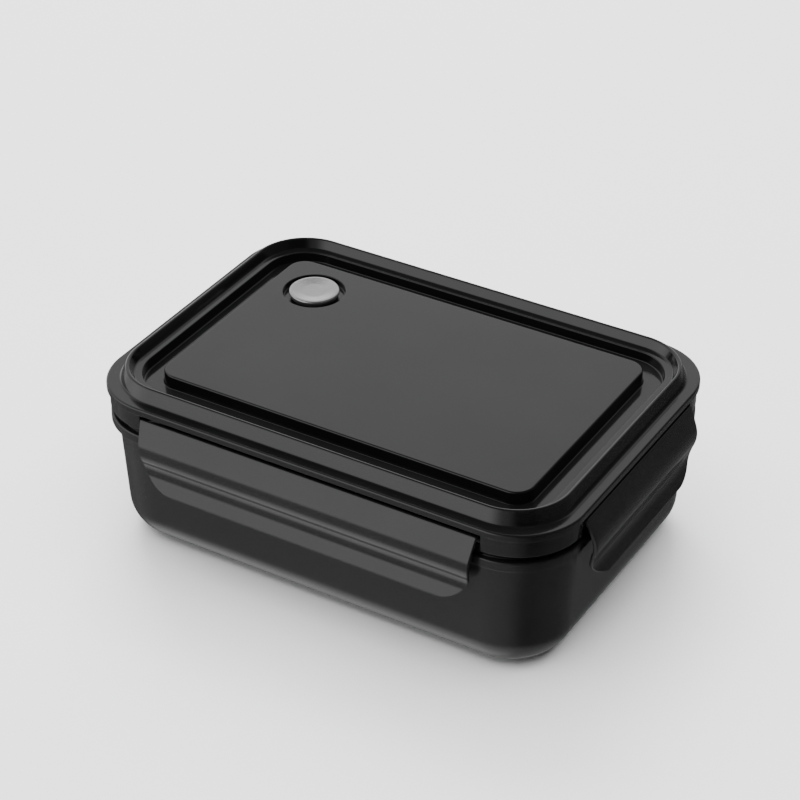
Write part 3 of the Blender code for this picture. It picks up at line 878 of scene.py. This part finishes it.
def make_object():
    shell = moulded_plastic("shell_black", (0.005, 0.005, 0.0052), 0.24, 0.006)
    lid_black = moulded_plastic("lid_black", (0.0035, 0.0035, 0.0037), 0.11, 0.005)
    flap_black = moulded_plastic("flap_black", (0.005, 0.005, 0.0052), 0.19, 0.003)
    wire = drawn_wire("wire_steel")
    steel = drawn_steel("liner_steel")
    seal_white = silicone("seal_white", (0.62, 0.62, 0.6), 0.5, 0.3)
    plug_grey = silicone("plug_grey", (0.3, 0.3, 0.3), 0.16, 0.0, 0.85)

    dress(make_base_shell(), shell, "box", "shell_plastic", "base_shell")
    dress(make_steel_liner(), steel, "box", "liner_steel", "steel_liner")
    dress(make_lid(), lid_black, "lid", "lid_plastic", "lid_cover")
    dress(make_gasket(), seal_white, "lid", "gasket_silicone", "lid_gasket")
    dress(make_vent_plug(), plug_grey, "plug", "plug_silicone", "vent_plug")
    for side, turn, half_side, distance in SIDES:
        flap = make_flap(side, turn, half_side, distance)
        dress(flap, flap_black, f"{side}_flap", "flap_plastic", f"flap_{side}")
        rod = make_hinge_rod(side, turn, half_side, distance)
        dress(rod, wire, "lid", "rod_steel", f"hinge_rod_{side}")


def make_floor():
    builder = bmesh.new()
    bmesh.ops.create_grid(builder, x_segments=1, y_segments=1, size=6000.0)
    floor = finished("floor", builder)
    floor.data.materials.append(backdrop("floor_pale"))
    floor.visible_glossy = False


def make_camera():
    azimuth = math.radians(CAMERA_AZIMUTH)
    elevation = math.radians(CAMERA_ELEVATION)
    data = bpy.data.cameras.new("camera")
    data.sensor_width = 36.0
    data.lens = CAMERA_LENS
    data.clip_start = 0.05
    data.clip_end = 50.0
    camera = bpy.data.objects.new("camera", data)
    bpy.context.scene.collection.objects.link(camera)
    back = Vector((math.sin(azimuth) * math.cos(elevation), -math.cos(azimuth) * math.cos(elevation),
                   math.sin(elevation)))
    right = Vector((math.cos(azimuth), math.sin(azimuth), 0.0))
    up = back.cross(right)
    facing = Matrix((right, up, back)).transposed().to_4x4()
    camera.matrix_world = Matrix.Translation(CAMERA_PLACE) @ facing
    bpy.context.scene.camera = camera


def area_light(name, place, target, size, power):
    data = bpy.data.lights.new(name, "AREA")
    data.shape = "RECTANGLE"
    data.size = size[0]
    data.size_y = size[1]
    data.energy = power
    light = bpy.data.objects.new(name, data)
    bpy.context.scene.collection.objects.link(light)
    light.visible_glossy = False
    light.location = place
    light.rotation_mode = "QUATERNION"
    light.rotation_quaternion = (Vector(target) - Vector(place)).to_track_quat("-Z", "Y")


def ramp(nodes, stops):
    """A smooth grey ramp: each stop is (position, brightness)."""
    node = nodes.new("ShaderNodeValToRGB")
    node.color_ramp.interpolation = "EASE"
    elements = node.color_ramp.elements
    while len(elements) < len(stops):
        elements.new(0.5)
    for element, (position, brightness) in zip(elements, stops):
        element.position = position
        element.color = (brightness, brightness, brightness, 1.0)
    return node


def make_studio():
    """Dim studio round the object: bright to the front left and back left, dark overhead and to the right."""
    world = bpy.data.worlds.new("studio")
    world.use_nodes = True
    nodes = world.node_tree.nodes
    links = world.node_tree.links
    direction = nodes.new("ShaderNodeTexCoord").outputs["Generated"]
    compass = nodes.new("ShaderNodeTexGradient")
    compass.gradient_type = "RADIAL"
    links.new(direction, compass.inputs["Vector"])
    split = nodes.new("ShaderNodeSeparateXYZ")
    links.new(direction, split.inputs["Vector"])
    room = None
    for heights, stops in STUDIO_RINGS:
        ring = ramp(nodes, stops)
        links.new(compass.outputs["Fac"], ring.inputs["Fac"])
        if room is None:
            room = ring.outputs["Color"]
            continue
        share = nodes.new("ShaderNodeMapRange")
        share.interpolation_type = "SMOOTHSTEP"
        share.inputs["From Min"].default_value = heights[0]
        share.inputs["From Max"].default_value = heights[1]
        links.new(split.outputs["Z"], share.inputs["Value"])
        mix = nodes.new("ShaderNodeMix")
        mix.data_type = "RGBA"
        links.new(share.outputs["Result"], mix.inputs["Factor"])
        links.new(room, mix.inputs["A"])
        links.new(ring.outputs["Color"], mix.inputs["B"])
        room = mix.outputs["Result"]
    background = nodes["Background"]
    background.inputs["Strength"].default_value = STUDIO_STRENGTH
    links.new(room, background.inputs["Color"])
    bpy.context.scene.world = world


def make_light():
    area_light("softbox_top", (0.0, 0.0, 2.0), (0.0, 0.0, 0.0), (3.0, 3.0), 130.0)
    area_light("softbox_back", (-1.2, 1.6, 1.8), (0.0, 0.0, 0.0), (1.6, 1.6), 90.0)
    make_studio()


make_camera()
make_object()
make_floor()
make_light()
